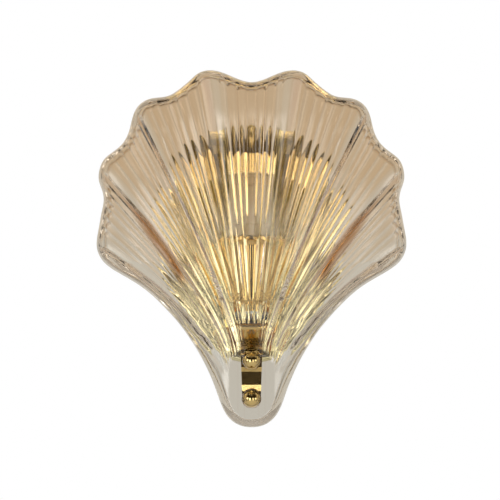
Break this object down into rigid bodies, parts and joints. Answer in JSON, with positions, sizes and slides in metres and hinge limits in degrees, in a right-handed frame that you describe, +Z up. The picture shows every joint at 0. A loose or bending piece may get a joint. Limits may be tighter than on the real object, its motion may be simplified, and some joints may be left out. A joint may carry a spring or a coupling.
{
  "type": "wall sconce",
  "caption": "Scallop-shell pressed-glass wall light clamped by two ball nuts to a brass strap and backplate with an upright lampholder.",
  "frame": {"origin": "centre of the two-slot wall fixing, on the wall plane at the back of the crossbar", "axes": "+Z up, -Y out of the wall towards the room, +X to the right as seen from the room"},
  "size_m": [0.265, 0.1125, 0.3015],
  "materials": {
    "rose_glass": "pressed clear glass, rose tint fading to clear at the foot",
    "polished_brass": "polished and lacquered",
    "zinc_steel": "zinc plated",
    "pale_thermoplastic": "moulded, satin",
    "white_ceramic": "glazed",
    "contact_metal": "stamped, plain",
    "clear_silicone": "soft, translucent",
    "block_plastic": "moulded",
    "black_rubber": "moulded",
    "wire_brown": "extruded insulation",
    "wire_blue": "extruded insulation",
    "wire_green": "extruded insulation, yellow stripe"
  },
  "bodies": {
    "root": {"glass_shell": "rose_glass", "backplate": "polished_brass", "wall_crossbar": "zinc_steel", "side_screws": "polished_brass", "strap_bracket": "polished_brass", "strap_screws": "zinc_steel", "strap_nuts": "zinc_steel", "holder_bridge": "polished_brass", "nipple": "zinc_steel", "nipple_nut": "polished_brass", "lampholder_cup": "polished_brass", "lampholder_base": "pale_thermoplastic", "lampholder_shell": "pale_thermoplastic", "lampholder_core": "white_ceramic", "thread_shell": "contact_metal", "centre_contact": "contact_metal", "retaining_ring": "pale_thermoplastic", "stud_upper": "polished_brass", "stud_lower": "polished_brass", "stud_nuts": "polished_brass", "rear_gaskets": "clear_silicone", "front_gaskets": "clear_silicone", "hole_sleeves": "clear_silicone", "terminal_block": "block_plastic", "terminal_inserts": "contact_metal", "terminal_screws": "zinc_steel", "block_screw": "zinc_steel", "cable_grommet": "black_rubber", "wire_live": "wire_brown", "wire_neutral": "wire_blue", "wire_earth": "wire_green", "earth_ring": "contact_metal"},
    "upper_washer": {"washer_upper": "polished_brass"},
    "lower_washer": {"washer_lower": "polished_brass"},
    "upper_ball_nut": {"ball_nut_upper": "polished_brass"},
    "lower_ball_nut": {"ball_nut_lower": "polished_brass"}
  },
  "joints": [
    {"name": "upper_nut_travel", "type": "slide", "parent": "root", "child": "upper_washer", "axis": [0, -1, 0], "range_m": [0, 0.0063]},
    {"name": "upper_nut_turn", "type": "hinge", "parent": "upper_washer", "child": "upper_ball_nut", "pos_m": [0, -0.0522, -0.0935], "axis": [0, -1, 0], "range_deg": [0, 3240.6]},
    {"name": "lower_nut_travel", "type": "slide", "parent": "root", "child": "lower_washer", "axis": [0, -1, 0], "range_m": [0, 0.0063]},
    {"name": "lower_nut_turn", "type": "hinge", "parent": "lower_washer", "child": "lower_ball_nut", "pos_m": [0, -0.0522, -0.1258], "axis": [0, -1, 0], "range_deg": [0, 3240.6]}
  ],
  "couplings": [
    {"joint": "upper_nut_turn", "follows": "upper_nut_travel", "rad_per_m": 8976},
    {"joint": "lower_nut_turn", "follows": "lower_nut_travel", "rad_per_m": 8976}
  ]
}
